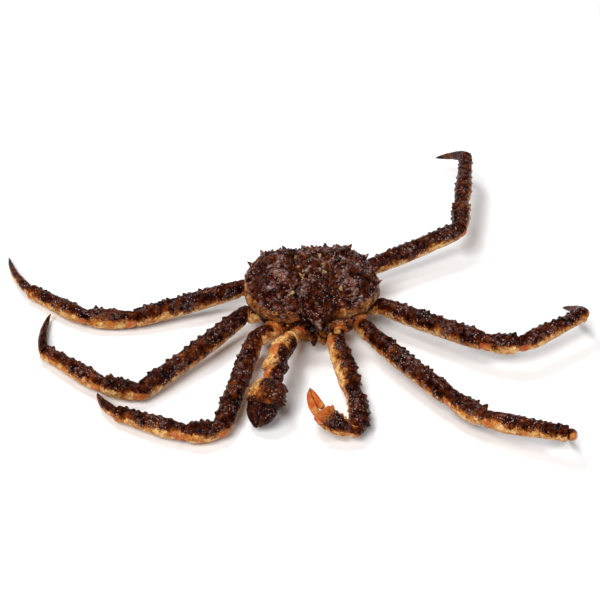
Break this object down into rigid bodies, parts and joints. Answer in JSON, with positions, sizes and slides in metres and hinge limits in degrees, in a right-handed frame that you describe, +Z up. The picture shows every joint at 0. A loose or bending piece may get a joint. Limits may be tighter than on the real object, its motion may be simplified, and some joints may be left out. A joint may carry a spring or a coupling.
{
  "type": "whole king crab",
  "caption": "Whole raw king crab lying on its belly, with a domed spiny back, long jointed legs spread out to both sides, and unequal claws.",
  "frame": {"origin": "on the surface that the crab lies on, under the middle of its back, on the flat underside of the folded tail", "axes": "+Z up, the crab's face towards -Y, its left side towards +X"},
  "size_m": [0.7796, 0.6567, 0.1034],
  "materials": {
    "shell": "wet dark maroon-brown shell, mottled and warty, with dark spine tips and a cream to orange underside on the legs",
    "belly": "wet cream to tan shell of the underside",
    "joint": "wet orange shell and joint skin",
    "eye": "glossy black"
  },
  "bodies": {
    "root": {"carapace": "shell", "underbody": "belly", "tail_flap": "belly", "leg_rear_left_coxa": "joint", "leg_rear_left_merus": "shell", "leg_rear_left_carpus": "shell", "leg_rear_left_propodus": "shell", "leg_rear_left_dactyl": "shell", "leg_rear_right_coxa": "joint", "leg_rear_right_merus": "shell", "leg_rear_right_carpus": "shell", "leg_rear_right_propodus": "shell", "leg_rear_right_dactyl": "shell", "leg_middle_left_coxa": "joint", "leg_middle_left_merus": "shell", "leg_middle_left_carpus": "shell", "leg_middle_left_propodus": "shell", "leg_middle_left_dactyl": "shell", "leg_middle_right_coxa": "joint", "leg_middle_right_merus": "shell", "leg_middle_right_carpus": "shell", "leg_middle_right_propodus": "shell", "leg_middle_right_dactyl": "shell", "leg_front_left_coxa": "joint", "leg_front_left_merus": "shell", "leg_front_left_carpus": "shell", "leg_front_left_propodus": "shell", "leg_front_left_dactyl": "shell", "leg_front_right_coxa": "joint", "leg_front_right_merus": "shell", "leg_front_right_carpus": "shell", "leg_front_right_propodus": "shell", "leg_front_right_dactyl": "shell", "claw_left_coxa": "joint", "claw_left_merus": "shell", "claw_left_carpus": "shell", "claw_left_palm": "shell", "claw_left_finger": "shell", "claw_right_coxa": "joint", "claw_right_merus": "shell", "claw_right_carpus": "shell", "claw_right_palm": "shell", "claw_right_finger": "shell", "eye_left": "eye", "feeler_left": "shell", "jaw_left": "shell", "eye_right": "eye", "feeler_right": "shell", "jaw_right": "shell"}
  },
  "joints": []
}
